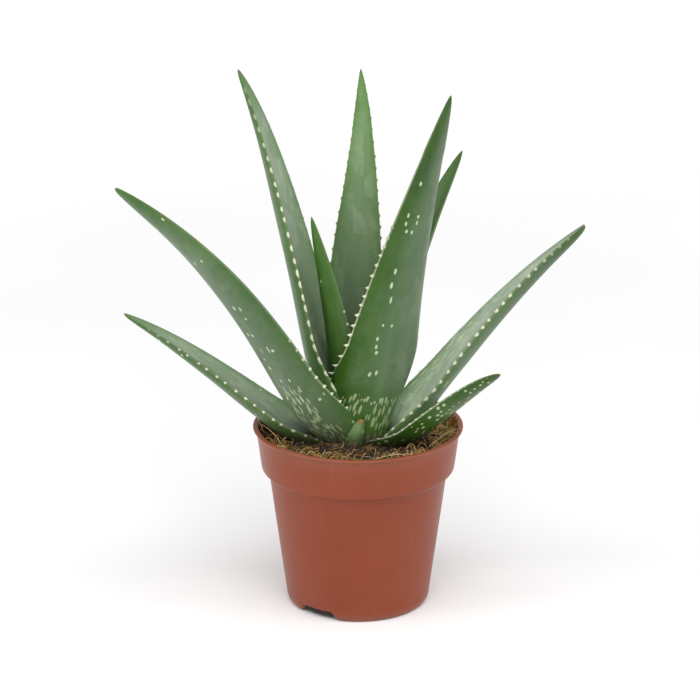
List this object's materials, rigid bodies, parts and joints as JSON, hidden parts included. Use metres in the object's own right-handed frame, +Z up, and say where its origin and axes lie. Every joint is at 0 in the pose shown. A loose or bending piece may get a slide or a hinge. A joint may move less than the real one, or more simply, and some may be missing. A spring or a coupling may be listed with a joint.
{
  "type": "potted aloe plant",
  "caption": "Aloe plant: a loose rosette of thick, pointed, toothed leaves on a short stem, in potting soil in a round tapered nursery pot.",
  "frame": {"origin": "centre of the pot's base, on the surface it stands on", "axes": "+Z up along the pot's axis, -Y towards the plant's front, +X to the right seen from the front"},
  "size_m": [0.2585, 0.1373, 0.3125],
  "materials": {
    "pot": "satin",
    "soil": "matte",
    "stem": "matte",
    "leaf": "satin"
  },
  "bodies": {
    "root": {"pot": "pot", "soil": "soil", "stem": "stem", "leaf_inner_left": "leaf", "leaf_inner_right": "leaf", "leaf_back": "leaf", "leaf_front_right": "leaf", "leaf_left_tall": "leaf", "leaf_right_long": "leaf", "leaf_left_broad": "leaf", "leaf_left_low": "leaf", "leaf_right_low": "leaf", "leaf_front_stub": "leaf"}
  },
  "joints": []
}
